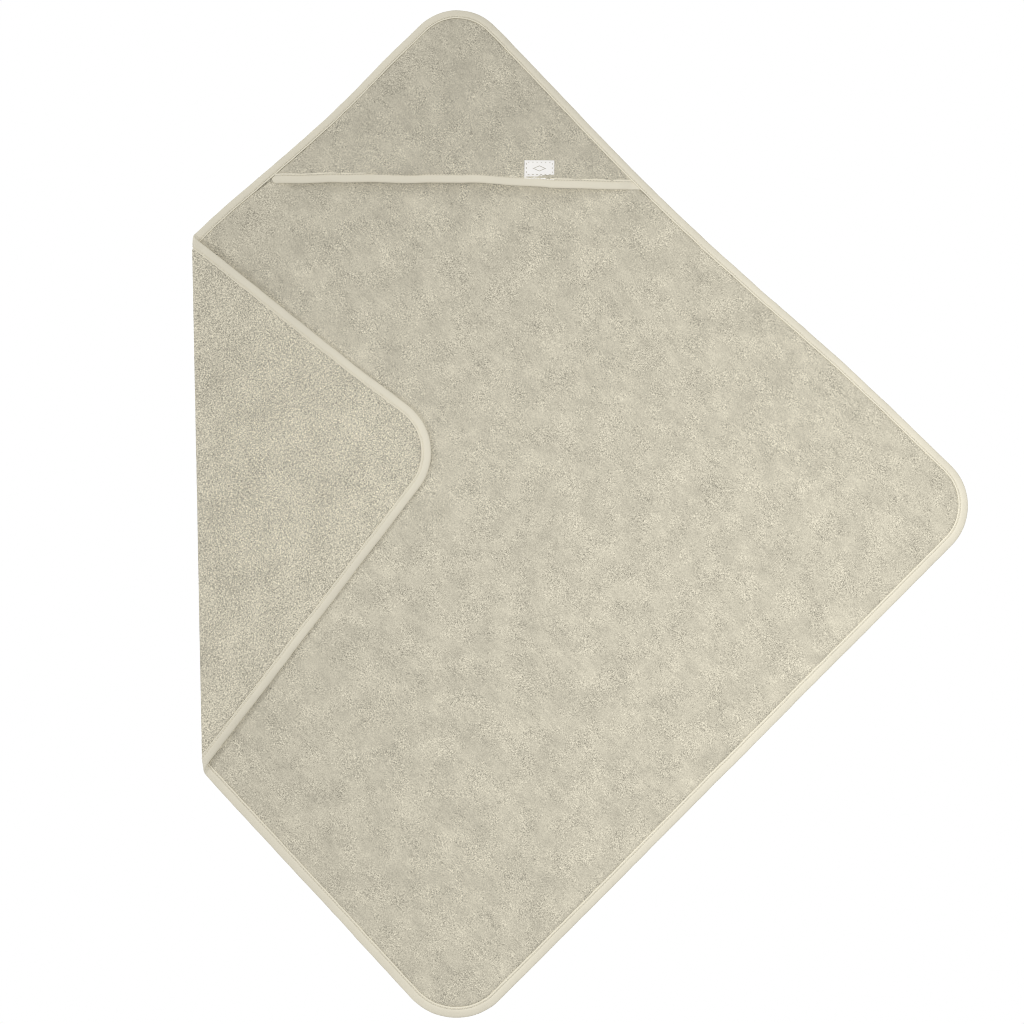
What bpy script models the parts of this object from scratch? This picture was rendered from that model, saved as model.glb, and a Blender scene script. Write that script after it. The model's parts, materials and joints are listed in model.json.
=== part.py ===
"""Hooded baby towel, lying flat with one corner turned over.

Metres, +Z up. The towel lies on z = 0 with its hooded corner towards +Y, and the origin is the
middle of the underside of its box. The towel is laid out flat as one square of terry with a tape
bound round its edge, cut in three at the fold (base, bend and turned corner), and folded. The hood
is a second layer of terry over the top corner, with its own tape along the free edge.
"""
import math

import bmesh
import bpy
from mathutils import Matrix, Vector

MM = 0.001

# Corners of the towel as it lies, before they are rounded. Cloth is never quite square.
CORNER_TOP = Vector((-0.1237, 0.5265))
CORNER_RIGHT = Vector((0.4142, 0.0090))
CORNER_BOTTOM = Vector((-0.1256, -0.5325))
CORNER_ROUNDING = 57 * MM

# The fold runs between these two points of the edge. The turned corner's own point lies at TURNED_TIP.
FOLD_TOP = Vector((-0.3843, 0.2836))
FOLD_BOTTOM = Vector((-0.3738, -0.2646))
TURNED_TIP = Vector((-0.1254, 0.0764))

# Free edge of the hood, where it meets the towel's two upper sides.
HOOD_LEFT = Vector((-0.3293, 0.3335))
HOOD_RIGHT = Vector((0.0788, 0.3240))

TERRY_THICKNESS = 4.5 * MM
GAP = 0.3 * MM
SPLIT_GAP = 0.15 * MM
CLEARANCE = 0.05 * MM
WELD = 0.001 * MM
ON_PLANE = 0.0001 * MM

TAPE_WIDTH = 10 * MM
TAPE_THICKNESS = 5 * MM
TAPE_LIP = 1.2 * MM
GROOVE_WIDTH = 1.2 * MM
GROOVE_DEPTH = 0.8 * MM
SEAM_FROM_TAPE_EDGE = 2 * MM
THREAD_DIAMETER = 0.5 * MM

# Inside the tape the terry is pressed thin, so that two layers fit under the hood's sides.
PRESSED_THICKNESS = 0.85 * MM
PRESSED_BOTTOM = TAPE_LIP + GAP

# The fold's axis is just above the towel, so the turned corner lies on the tape and is as flat
# as the towel when it is opened again.
FOLD_HEIGHT = TAPE_THICKNESS + GAP
FOLD_STRIP = math.pi * (FOLD_HEIGHT - TERRY_THICKNESS / 2)
FOLD_SLICES = 10

# The hinges: the corner turns about a line just outside the fold, so that the cloth in the fold
# is neither stretched nor crushed on the way. The hood lifts about a line near its sewn point.
HINGE_OUTSIDE_FOLD = 4 * MM
HOOD_HINGE = Vector((-0.1232, 0.4936, TERRY_THICKNESS + GAP))

# The hood's mid-surface: its height at the seams, and how far the pocket rises in the middle.
HOOD_INSET = 12 * MM
HOOD_MID_HEIGHT = TERRY_THICKNESS + TAPE_THICKNESS / 2 + GAP + CLEARANCE
HOOD_ARCH = 4.7 * MM
HOOD_SHOULDER = 0.32
HOOD_RISE = 0.6
HOOD_POINT_TRIM = 1 * MM
RIM_OVERLAP = 3 * MM
CUT_MARGIN = 2 * MM
HOOD_COLUMNS = 24
HOOD_ROWS = 14

LABEL_WIDTH = 30 * MM
LABEL_THICKNESS = 0.6 * MM
LABEL_SHOWS = 16 * MM
LABEL_TAIL = 6 * MM
LABEL_LEFT = -0.0566

ARC_STEPS = 10

COLOURS = {
    "terry": ((0.61, 0.57, 0.46, 1), 0.95),
    "tape": ((0.72, 0.67, 0.55, 1), 0.6),
    "thread": ((0.78, 0.74, 0.62, 1), 0.55),
    "label": ((0.90, 0.87, 0.83, 1), 0.7),
}


def make_material(name):
    colour, roughness = COLOURS[name]
    material = bpy.data.materials.new(name)
    material.use_nodes = True
    shader = material.node_tree.nodes["Principled BSDF"]
    shader.inputs["Base Color"].default_value = colour
    shader.inputs["Roughness"].default_value = roughness
    shader.inputs["Metallic"].default_value = 0.0
    return material


def make_collection(name):
    collection = bpy.data.collections.new(name)
    bpy.context.scene.collection.children.link(collection)
    return collection


def add_object(name, data, collection):
    obj = bpy.data.objects.new(name, data)
    collection.objects.link(obj)
    return obj


# ---------------------------------------------------------------- outlines

def line_crossing(point_a, along_a, point_b, along_b):
    """Where two straight lines in the plane cross."""
    cross = along_a.x * along_b.y - along_a.y * along_b.x
    between = point_b - point_a
    return point_a + along_a * ((between.x * along_b.y - between.y * along_b.x) / cross)


def rounded_outline(corners, radii, inset=0.0):
    """Points round a counter-clockwise polygon moved inwards by inset, with its corners rounded."""
    count = len(corners)
    sides = []
    for i in range(count):
        along = (corners[(i + 1) % count] - corners[i]).normalized()
        inwards = Vector((-along.y, along.x))
        sides.append((corners[i] + inwards * inset, along))
    points = []
    for i in range(count):
        before, after = sides[i - 1], sides[i]
        corner = line_crossing(*before, *after)
        if not radii[i]:
            points.append(corner)
            continue
        radius = radii[i] - inset
        half_angle = (math.pi - before[1].angle(after[1])) / 2
        into_corner = (after[1] - before[1]).normalized()
        centre = corner + into_corner * (radius / math.sin(half_angle))
        sweep = math.pi - 2 * half_angle
        first = Vector((before[1].y, -before[1].x))
        for step in range(ARC_STEPS + 1):
            turn = Matrix.Rotation(sweep * step / ARC_STEPS, 2)
            points.append(centre + turn @ first * radius)
    return points


# The fold frame: a runs into the towel from the fold, b runs down along it.
fold_along = (FOLD_BOTTOM - FOLD_TOP).normalized()
fold_into = Vector((-fold_along.y, fold_along.x))


def to_fold_frame(point):
    offset = Vector((point[0], point[1])) - FOLD_TOP
    return offset.dot(fold_into), offset.dot(fold_along)


def from_fold_frame(a, b):
    return FOLD_TOP + fold_into * a + fold_along * b


def unfolded(point):
    """Where a point of the turned corner is when the towel is laid out flat."""
    a, b = to_fold_frame(point)
    return from_fold_frame(-FOLD_STRIP - a, b)


FLAT_CORNERS = [CORNER_TOP, FOLD_TOP, unfolded(TURNED_TIP), FOLD_BOTTOM, CORNER_BOTTOM, CORNER_RIGHT]
FLAT_RADII = [CORNER_ROUNDING, 0, CORNER_ROUNDING, 0, CORNER_ROUNDING, CORNER_ROUNDING]


def towel_outline(inset):
    return rounded_outline(FLAT_CORNERS, FLAT_RADII, inset)


# ---------------------------------------------------------------- building blocks

def poly_curve(name, points, closed):
    """A POLY curve through 3-D points."""
    curve = bpy.data.curves.new(name, "CURVE")
    curve.dimensions = "3D"
    curve.twist_mode = "Z_UP"
    curve.render_resolution_u = 0
    spline = curve.splines.new("POLY")
    spline.points.add(len(points) - 1)
    for spline_point, point in zip(spline.points, points):
        spline_point.co = (point[0], point[1], point[2], 1)
    spline.use_cyclic_u = closed
    return curve


def curve_to_mesh(name, curve, collection):
    """The closed mesh of a curve, with its caps welded and its faces pointing out."""
    temporary = add_object(name + "_curve", curve, collection)
    bpy.context.view_layer.update()
    evaluated = temporary.evaluated_get(bpy.context.evaluated_depsgraph_get())
    mesh = bpy.data.meshes.new_from_object(evaluated)
    bpy.data.objects.remove(temporary)
    work = bmesh.new()
    work.from_mesh(mesh)
    bmesh.ops.remove_doubles(work, verts=work.verts, dist=WELD)
    bmesh.ops.recalc_face_normals(work, faces=work.faces)
    work.to_mesh(mesh)
    work.free()
    return add_object(name, mesh, collection)


def flat_plate(name, outline, bottom, top, collection):
    """A plate with the given outline between two heights."""
    curve = poly_curve(name, [(p.x, p.y, 0) for p in outline], closed=True)
    curve.dimensions = "2D"
    curve.fill_mode = "BOTH"
    curve.extrude = (top - bottom) / 2
    plate = curve_to_mesh(name, curve, collection)
    plate.data.transform(Matrix.Translation((0, 0, (top + bottom) / 2)))
    return plate


def combine(target, tool, operation):
    """Apply a Boolean between two meshes to the first, and remove the second."""
    modifier = target.modifiers.new(operation.lower(), "BOOLEAN")
    modifier.operation = operation
    modifier.solver = "EXACT"
    modifier.object = tool
    bpy.context.view_layer.update()
    evaluated = target.evaluated_get(bpy.context.evaluated_depsgraph_get())
    mesh = bpy.data.meshes.new_from_object(evaluated)
    target.modifiers.clear()
    target.data = mesh
    bpy.data.objects.remove(tool)


def tape_profile(collection):
    """Section of a tape folded over an edge, with a groove for each thread.

    Its -X points to the open side, where the terry goes in: a path's left, as Blender sweeps it.
    """
    half_width = TAPE_WIDTH / 2
    half_height = TAPE_THICKNESS / 2
    slot_half = half_height - TAPE_LIP
    groove_near = half_width - SEAM_FROM_TAPE_EDGE - GROOVE_WIDTH / 2
    groove_far = groove_near + GROOVE_WIDTH
    groove_floor = half_height - GROOVE_DEPTH
    upper_half = [
        (TAPE_LIP - half_width, slot_half),
        (half_width, slot_half),
        (half_width, half_height),
        (groove_far, half_height),
        (groove_far, groove_floor),
        (groove_near, groove_floor),
        (groove_near, half_height),
        (-half_width, half_height),
    ]
    lower_half = [(x, -y) for x, y in reversed(upper_half)]
    curve = poly_curve("tape_section", [(-x, y, 0) for x, y in upper_half + lower_half], closed=True)
    curve.dimensions = "2D"
    curve.fill_mode = "NONE"
    section = add_object("tape_section", curve, collection)
    section.hide_render = True
    section.display_type = "WIRE"
    return section


def folded_tape(name, path, closed, section, collection):
    """Tape folded over an edge, its middle following a path with the cloth on its left."""
    curve = poly_curve(name, path, closed)
    curve.bevel_mode = "OBJECT"
    curve.bevel_object = section
    curve.use_fill_caps = True
    return curve_to_mesh(name, curve, collection)


def seam_thread(name, path, closed, collection):
    """Sewing thread along a path, as one round cord."""
    curve = poly_curve(name, path, closed)
    curve.bevel_depth = THREAD_DIAMETER / 2
    curve.bevel_resolution = 1
    curve.use_fill_caps = True
    return curve_to_mesh(name, curve, collection)


def cut_away(obj, point, outwards):
    """Remove what lies beyond a plane, and close the cut."""
    work = bmesh.new()
    work.from_mesh(obj.data)
    bmesh.ops.bisect_plane(
        work, geom=work.verts[:] + work.edges[:] + work.faces[:], dist=ON_PLANE,
        plane_co=point, plane_no=outwards, clear_outer=True)
    open_edges = [edge for edge in work.edges if edge.is_boundary]
    bmesh.ops.holes_fill(work, edges=open_edges)
    bmesh.ops.recalc_face_normals(work, faces=work.faces)
    work.to_mesh(obj.data)
    work.free()


def copy_piece(source, name, collection):
    return add_object(name, source.data.copy(), collection)


# ---------------------------------------------------------------- folding

def fold_plane(a):
    """A point on, and the direction into the towel of, the upright plane at distance a from the fold."""
    point = from_fold_frame(a, 0)
    return Vector((point.x, point.y, 0)), Vector((fold_into.x, fold_into.y, 0))


def keep_between(obj, a_low, a_high):
    if a_low is not None:
        point, into = fold_plane(a_low)
        cut_away(obj, point, -into)
    if a_high is not None:
        point, into = fold_plane(a_high)
        cut_away(obj, point, into)


def turn_corner_over(obj):
    """Lay the flat corner over onto the towel."""
    for vertex in obj.data.vertices:
        a, b = to_fold_frame(vertex.co)
        place = from_fold_frame(-FOLD_STRIP - a, b)
        vertex.co = (place.x, place.y, 2 * FOLD_HEIGHT - vertex.co.z)


def bend_round_fold(obj):
    """Slice the flat strip across, and bend it in a half circle round the fold's axis."""
    work = bmesh.new()
    work.from_mesh(obj.data)
    for i in range(1, FOLD_SLICES):
        point, into = fold_plane(-FOLD_STRIP * i / FOLD_SLICES)
        bmesh.ops.bisect_plane(
            work, geom=work.verts[:] + work.edges[:] + work.faces[:], dist=ON_PLANE,
            plane_co=point, plane_no=into)
    for vertex in work.verts:
        a, b = to_fold_frame(vertex.co)
        angle = -a / FOLD_STRIP * math.pi
        radius = FOLD_HEIGHT - vertex.co.z
        place = from_fold_frame(-radius * math.sin(angle), b)
        vertex.co = (place.x, place.y, FOLD_HEIGHT - radius * math.cos(angle))
    bmesh.ops.triangulate(work, faces=work.faces)
    work.to_mesh(obj.data)
    work.free()


def base_and_corner(flat, base_name, corner_name, collection):
    """Cut a flat piece at the fold into the part that lies and the part that is turned over."""
    base = copy_piece(flat, base_name, collection)
    keep_between(base, SPLIT_GAP, None)
    corner = copy_piece(flat, corner_name, collection)
    keep_between(corner, None, -FOLD_STRIP - SPLIT_GAP)
    turn_corner_over(corner)
    return base, corner


# ---------------------------------------------------------------- towel

def make_towel_cloth(collection):
    """The terry square: full thickness inside the tape, pressed thin where the tape holds it."""
    flat = flat_plate("flat_terry", towel_outline(TAPE_WIDTH + GAP), 0, TERRY_THICKNESS, collection)
    pressed = flat_plate(
        "pressed_rim", towel_outline(TAPE_LIP + GAP),
        PRESSED_BOTTOM, PRESSED_BOTTOM + PRESSED_THICKNESS, collection)
    combine(flat, pressed, "UNION")
    base, corner = base_and_corner(flat, "towel_panel", "corner_panel", collection)
    bend = copy_piece(flat, "towel_fold", collection)
    keep_between(bend, -FOLD_STRIP + SPLIT_GAP, -SPLIT_GAP)
    bend_round_fold(bend)
    bpy.data.objects.remove(flat)
    return [base, corner, bend]


def make_edge_binding(section, collection):
    """The tape round the whole edge, with the two short bends where it goes round the fold."""
    path = [(p.x, p.y, TAPE_THICKNESS / 2) for p in towel_outline(TAPE_WIDTH / 2)]
    flat = folded_tape("flat_tape", path, True, section, collection)
    base, corner = base_and_corner(flat, "edge_binding", "corner_binding", collection)
    pieces = [base, corner]
    middle = (FOLD_TOP + FOLD_BOTTOM) / 2
    for name, away in (("binding_fold_upper", fold_along), ("binding_fold_lower", -fold_along)):
        bend = copy_piece(flat, name, collection)
        keep_between(bend, -FOLD_STRIP + SPLIT_GAP, -SPLIT_GAP)
        cut_away(bend, Vector((middle.x, middle.y, 0)), Vector((away.x, away.y, 0)))
        bend_round_fold(bend)
        pieces.append(bend)
    bpy.data.objects.remove(flat)
    return pieces


def make_edge_threads(collection):
    """Needle thread on top of the tape and bobbin thread under it."""
    pieces = []
    outline = towel_outline(TAPE_WIDTH - SEAM_FROM_TAPE_EDGE)
    for kind, height in (
            ("needle", TAPE_THICKNESS - THREAD_DIAMETER / 2),
            ("bobbin", THREAD_DIAMETER / 2)):
        path = [(p.x, p.y, height) for p in outline]
        flat = seam_thread("flat_thread", path, True, collection)
        pieces += base_and_corner(flat, f"edge_{kind}_thread", f"corner_{kind}_thread", collection)
        bpy.data.objects.remove(flat)
    return pieces


# ---------------------------------------------------------------- hood

hood_along = (HOOD_RIGHT - HOOD_LEFT).normalized()
hood_inwards = Vector((-hood_along.y, hood_along.x))


def hood_row(depth, inset):
    """Left and right ends of the line across the hood at a depth from its free edge."""
    start = HOOD_LEFT + hood_inwards * depth
    outline = towel_outline(inset)
    crossings = []
    for first, second in zip(outline, outline[1:] + outline[:1]):
        side_a = (first - start).dot(hood_inwards)
        side_b = (second - start).dot(hood_inwards)
        if (side_a < 0) != (side_b < 0):
            crossings.append(first.lerp(second, side_a / (side_a - side_b)))
    crossings.sort(key=lambda p: (p - start).dot(hood_along))
    return crossings[0], crossings[-1]


def hood_tip(inset):
    """How far the hood's point is from its free edge."""
    return max((p - HOOD_LEFT).dot(hood_inwards) for p in towel_outline(inset))


HOOD_DEPTH = hood_tip(HOOD_INSET)


def smoothstep(value):
    value = min(max(value, 0.0), 1.0)
    return value * value * (3 - 2 * value)


def hood_surface(point):
    """A point of the hood's mid-surface: a low arch that is flat at the seams and at the apex."""
    depth = (point - HOOD_LEFT).dot(hood_inwards)
    row_depth = min(max(depth, 0.0), HOOD_DEPTH - HOOD_POINT_TRIM)
    left, right = hood_row(row_depth, HOOD_INSET)
    across = (point - left).dot(hood_along) / (right - left).dot(hood_along)
    shoulders = smoothstep(across / HOOD_SHOULDER) * smoothstep((1 - across) / HOOD_SHOULDER)
    rise = smoothstep((1 - depth / HOOD_DEPTH) / HOOD_RISE)
    return Vector((point.x, point.y, HOOD_MID_HEIGHT + HOOD_ARCH * shoulders * rise))


def layer(name, ends_at, depths, low, high, collection):
    """A sheet over rows of the hood, between two offsets from its mid-surface."""
    mesh = bpy.data.meshes.new(name)
    work = bmesh.new()
    bmesh.ops.create_grid(work, x_segments=HOOD_COLUMNS, y_segments=len(depths) - 1, size=0.5)
    for vertex in work.verts:
        across = vertex.co.x + 0.5
        row = round((vertex.co.y + 0.5) * (len(depths) - 1))
        left, right = ends_at(depths[row])
        vertex.co = hood_surface(left.lerp(right, across)) + Vector((0, 0, (low + high) / 2))
    bmesh.ops.remove_doubles(work, verts=work.verts, dist=10 * WELD)
    bmesh.ops.recalc_face_normals(work, faces=work.faces)
    work.to_mesh(mesh)
    work.free()
    sheet = add_object(name, mesh, collection)
    solidify = sheet.modifiers.new("thickness", "SOLIDIFY")
    solidify.thickness = high - low
    solidify.offset = 0
    bpy.context.view_layer.update()
    evaluated = sheet.evaluated_get(bpy.context.evaluated_depsgraph_get())
    solid = bpy.data.meshes.new_from_object(evaluated)
    sheet.modifiers.clear()
    sheet.data = solid
    return sheet


def hood_ends(depth):
    return hood_row(depth, HOOD_INSET)


def label_ends(depth):
    start = HOOD_LEFT + hood_inwards * depth
    left = start + hood_along * ((LABEL_LEFT - start.x) / hood_along.x)
    return left, left + hood_along * LABEL_WIDTH


def recess_ends(depth):
    left, right = label_ends(depth)
    return left - hood_along * GAP, right + hood_along * GAP


def make_hood_cloth(collection):
    """The hood's terry, with its pressed edge inside the hood tape and a bed for the label."""
    start = TAPE_WIDTH + GAP
    span = HOOD_DEPTH - HOOD_POINT_TRIM - start
    depths = [start + span * math.sin(math.pi / 2 * i / HOOD_ROWS) for i in range(HOOD_ROWS + 1)]
    half = TERRY_THICKNESS / 2
    cloth = layer("hood_panel", hood_ends, depths, -half, half, collection)
    rim_low = PRESSED_BOTTOM - TAPE_THICKNESS / 2
    rim = layer(
        "hood_rim", hood_ends, [TAPE_LIP + GAP, TAPE_WIDTH / 2, start + RIM_OVERLAP],
        rim_low, rim_low + PRESSED_THICKNESS, collection)
    combine(cloth, rim, "UNION")
    bed_low = rim_low + PRESSED_THICKNESS
    bed = layer(
        "label_bed", recess_ends, [TAPE_WIDTH / 2, start, start + LABEL_SHOWS + GAP],
        bed_low, half + CUT_MARGIN, collection)
    combine(cloth, bed, "DIFFERENCE")
    return cloth


def seam_planes(inset):
    """Upright planes along the two seams of the hood, each facing outwards."""
    planes = []
    for start, end in ((CORNER_TOP, FOLD_TOP), (CORNER_RIGHT, CORNER_TOP)):
        along = (end - start).normalized()
        outwards = Vector((along.y, -along.x, 0))
        point = Vector((start.x, start.y, 0)) - outwards * inset
        planes.append((point, outwards))
    return planes


def hood_path(depth, offset, beyond):
    """A line across the hood at a depth from its free edge, running past both seams."""
    left, right = hood_row(max(depth, 0), HOOD_INSET)
    left = left - hood_along * beyond
    right = right + hood_along * beyond
    steps = 2 * HOOD_COLUMNS
    points = [hood_surface(left.lerp(right, i / steps)) for i in range(steps + 1)]
    return [point + Vector((0, 0, offset)) for point in points]


def make_hood_binding(section, collection):
    """The tape along the hood's free edge, and its two threads."""
    beyond = 2 * TAPE_WIDTH
    tape = folded_tape(
        "hood_binding", hood_path(TAPE_WIDTH / 2, 0, beyond), False, section, collection)
    seam_depth = TAPE_WIDTH - SEAM_FROM_TAPE_EDGE
    height = (TAPE_THICKNESS - THREAD_DIAMETER) / 2
    pieces = [tape]
    for kind, offset in (("needle", height), ("bobbin", -height)):
        path = hood_path(seam_depth, offset, beyond)
        pieces.append(seam_thread(f"hood_{kind}_thread", path, False, collection))
    for piece in pieces:
        for point, outwards in seam_planes(HOOD_INSET):
            cut_away(piece, point, outwards)
    return pieces


def make_label(collection):
    """The woven label: its tail is held in the hood tape, the rest lies on the hood."""
    low = PRESSED_BOTTOM - TAPE_THICKNESS / 2 + PRESSED_THICKNESS + GAP
    depths = [TAPE_WIDTH - LABEL_TAIL, TAPE_WIDTH, TAPE_WIDTH + LABEL_SHOWS]
    return layer("hood_label", label_ends, depths, low, low + LABEL_THICKNESS, collection)


def seam_edge_points(inset):
    """Points along the hood's two seams at an inset, from its left end over the apex to its right."""
    left, right = hood_row(0, inset)
    above = [p for p in towel_outline(inset) if (p - HOOD_LEFT).dot(hood_inwards) > 0]
    return [left] + sorted(above, key=lambda p: p.x) + [right]


def make_hood_seam_edge(collection):
    """The hood's pressed outer edge, caught in the edge binding on top of the towel's own."""
    outer = seam_edge_points(TAPE_LIP + GAP)
    inner = seam_edge_points(TAPE_WIDTH - 2 * CLEARANCE)
    low = PRESSED_BOTTOM + PRESSED_THICKNESS + GAP
    return flat_plate("hood_seam_edge", outer + inner[::-1], low, low + PRESSED_THICKNESS, collection)


# ---------------------------------------------------------------- assembly

def centre_on_origin(pieces):
    """Move everything so that the middle of the box is over the origin, and return the move."""
    places = [vertex.co for piece in pieces for vertex in piece.data.vertices]
    middle = [(min(p[axis] for p in places) + max(p[axis] for p in places)) / 2 for axis in range(2)]
    move = Vector((-middle[0], -middle[1], 0))
    for piece in pieces:
        piece.data.transform(Matrix.Translation(move))
    return move


def hang_on_hinge(name, place, axis, pieces, collection):
    """Parent pieces to an empty on their hinge, whose X axis is the hinge's, and leave them in place."""
    hinge = bpy.data.objects.new(name, None)
    hinge.empty_display_size = 20 * MM
    placed = Matrix.Translation(place) @ axis.to_3d().to_track_quat("X", "Z").to_matrix().to_4x4()
    hinge.matrix_world = placed
    collection.objects.link(hinge)
    for piece in pieces:
        piece.parent = hinge
        piece.matrix_parent_inverse = placed.inverted()


def main():
    for obj in list(bpy.data.objects):
        bpy.data.objects.remove(obj)
    parts = make_collection("hooded_baby_towel")
    guides = make_collection("guides")
    terry, tape, thread, label = (make_material(name) for name in COLOURS)
    section = tape_profile(guides)

    made = {
        terry: make_towel_cloth(parts) + [make_hood_cloth(parts), make_hood_seam_edge(parts)],
        tape: make_edge_binding(section, parts),
        thread: make_edge_threads(parts),
        label: [make_label(parts)],
    }
    hood_tape, *hood_threads = make_hood_binding(section, parts)
    made[tape].append(hood_tape)
    made[thread] += hood_threads
    for material, pieces in made.items():
        for piece in pieces:
            piece.data.materials.clear()
            piece.data.materials.append(material)
    everything = [piece for pieces in made.values() for piece in pieces]
    move = centre_on_origin(everything)
    beside_fold = from_fold_frame(-HINGE_OUTSIDE_FOLD, 0)
    hang_on_hinge(
        "corner_hinge", move + Vector((beside_fold.x, beside_fold.y, FOLD_HEIGHT)), fold_along,
        [piece for piece in everything if piece.name.startswith("corner_")], parts)
    hang_on_hinge(
        "hood_hinge", move + HOOD_HINGE, -hood_along,
        [piece for piece in everything if piece.name.startswith("hood_") and piece.name != "hood_seam_edge"],
        parts)


main()
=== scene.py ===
"""Looks of the hooded baby towel: terry, tapes, stitches and label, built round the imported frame.

Metres, in the CAD's frame. All cloth is made in the layout: the towel spread out flat, with the
corner not yet turned over. lay() then takes a layout point to where it is on the folded towel.
"""
import json
import math

import bpy
import numpy as np
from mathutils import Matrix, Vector
from mathutils.geometry import delaunay_2d_cdt
from mathutils.kdtree import KDTree


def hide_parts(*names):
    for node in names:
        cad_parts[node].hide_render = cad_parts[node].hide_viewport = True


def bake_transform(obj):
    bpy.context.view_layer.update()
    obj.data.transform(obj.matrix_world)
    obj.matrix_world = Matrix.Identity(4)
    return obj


MM = 0.001
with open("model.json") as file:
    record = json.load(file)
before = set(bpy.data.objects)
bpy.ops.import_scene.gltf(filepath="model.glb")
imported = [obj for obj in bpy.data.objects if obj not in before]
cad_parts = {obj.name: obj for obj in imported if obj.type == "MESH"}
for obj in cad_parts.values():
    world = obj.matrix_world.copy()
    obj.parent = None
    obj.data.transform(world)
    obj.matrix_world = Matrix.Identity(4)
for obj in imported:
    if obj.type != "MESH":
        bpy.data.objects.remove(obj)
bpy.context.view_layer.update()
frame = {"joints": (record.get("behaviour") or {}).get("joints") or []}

# ---------------------------------------------------------------- places from the frame

fold_hinge = next(joint for joint in frame["joints"] if joint["name"] == "corner_fold")
FOLD_HEIGHT = fold_hinge["pos_m"][2]
FOLD_ALONG = np.array(fold_hinge["axis"][:2])
FOLD_INTO = np.array((-FOLD_ALONG[1], FOLD_ALONG[0]))
HINGE_OUTSIDE_FOLD = 4 * MM
FOLD_TOP = np.array(fold_hinge["pos_m"][:2]) + FOLD_INTO * HINGE_OUTSIDE_FOLD
FOLD_LENGTH = 0.5483
FOLD_BOTTOM = FOLD_TOP + FOLD_ALONG * FOLD_LENGTH

# ---------------------------------------------------------------- driving dimensions

CORNER_TOP = np.array((-0.1224, 0.5262))
CORNER_RIGHT = np.array((0.4142, 0.0090))
CORNER_BOTTOM = np.array((-0.1256, -0.5337))
TURNED_TIP = np.array((-0.1256, 0.0730))
RADIUS_TOP = 54 * MM
RADIUS_RIGHT = 57 * MM
RADIUS_BOTTOM = 62 * MM
RADIUS_TURNED = 60 * MM

# Curl of the turned corner beside the top of the fold: its height, how far it reaches in from the fold and
# down along it, and how far its edge runs down per step in.
CURL = 2.6 * MM
CURL_REACH = 120 * MM
CURL_LENGTH = 45 * MM
CURL_SLOPE = 0.75

# The turned corner's cloth settles inside its fold, and droops at its edge where it lies on one layer.
SETTLED = 1.0 * MM
DROOP = 1.1 * MM
DROOP_WIDTH = 34 * MM

# Low swells of the cloth as it lies, beyond the part that the turned corner presses down.
SWELL_HEIGHT = 1.1 * MM
SWELL_SIZE = 130 * MM
RIPPLE_SIZE = 45 * MM
PRESSED_REACH = 260 * MM

# The terry: mid-height and half-thickness, free and where a tape squeezes it.
CLOTH_MID = 2.15 * MM
CLOTH_HALF = 2.1 * MM
PRESSED_HALF = 0.6 * MM

# Length of cloth that goes round the fold, and the rows of faces along it.
FOLD_STRIP = math.pi * (FOLD_HEIGHT - CLOTH_MID)
FOLD_ROWS = 9

TAPE_WIDTH = 10 * MM
TAPE_MID = 2.3 * MM
TAPE_HALF = 1.8 * MM
TAPE_SKIN = 0.45 * MM
HOOD_SWELL = 0.9 * MM
STITCH_PITCH = 2.9 * MM
STITCH_INSET = 1.9 * MM

# The hood's free edge: its ends, its height at the left end, and its drop to the right from a place on.
HOOD_ENDS = (-0.30, 0.07)
HOOD_LEFT_Y = 0.3317
HOOD_DROP = 0.0066
HOOD_DROP_FROM = -0.14
HOOD_DROP_SPAN = 0.18

# Mid-height of the hood's cloth in its seams and inside them, its arch, and its tape's thinner ends.
HOOD_SEAM_MID = 3.9 * MM
HOOD_MID = 6.7 * MM
HOOD_ARCH = 4.6 * MM
HOOD_RUMPLE = 0.35 * MM
HOOD_TAPE_FLAT = 0.85 * MM

# The hood's lift fans out from a point above the towel's corner, and starts this far from the seams.
FAN_ABOVE = 25 * MM
SEAM_REACH = 35 * MM

LABEL_LEFT = -0.0558
LABEL_SIZE = (30 * MM, 16 * MM)
LABEL_HALF = 0.32 * MM
LABEL_TAIL = 5 * MM
LABEL_SLANT = 0.012

GRID = 3.5 * MM
HOOD_GRID = 2.6 * MM
OUTLINE_STEP = 1 * MM

# Rows of points beside a tape, where the cloth goes down into the seam.
SEAM_ROWS = (9.0 * MM, 9.9 * MM, 10.6 * MM, 11.5 * MM, 13.6 * MM)
SEAM_CLEAR = 16.2 * MM
SEAM_START = 9.4 * MM
SEAM_WIDTH = 1.8 * MM
SEAM_RIDGE = 0.22 * MM

CAMERA_HEIGHT = 3.0
FRAME_WIDTH = 1.0295


def smoothstep(t):
    t = np.clip(t, 0, 1)
    return t * t * (3 - 2 * t)


def noise(x, y, size, seed):
    """Smooth value noise from -1 to 1, with bumps about size apart."""
    cells = 128
    table = np.random.default_rng(seed).uniform(-1, 1, (cells, cells))
    gx, gy = np.asarray(x) / size, np.asarray(y) / size
    ix, iy = np.floor(gx).astype(int), np.floor(gy).astype(int)
    fx, fy = smoothstep(gx - ix), smoothstep(gy - iy)
    ix, iy = ix % cells, iy % cells
    jx, jy = (ix + 1) % cells, (iy + 1) % cells
    low = table[ix, iy] * (1 - fx) + table[jx, iy] * fx
    high = table[ix, jy] * (1 - fx) + table[jx, jy] * fx
    return low * (1 - fy) + high * fy


def unit(vector):
    return vector / np.linalg.norm(vector)


def lengths_along(path):
    """Distance travelled along a polyline up to each of its points."""
    return np.concatenate([[0], np.cumsum(np.linalg.norm(np.diff(path, axis=0), axis=1))])


# ---------------------------------------------------------------- the outline in the layout

def fold_frame(xy):
    """(into the towel from the fold, down along the fold) of points in the plane."""
    offset = xy - FOLD_TOP
    return offset @ FOLD_INTO, offset @ FOLD_ALONG


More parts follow.
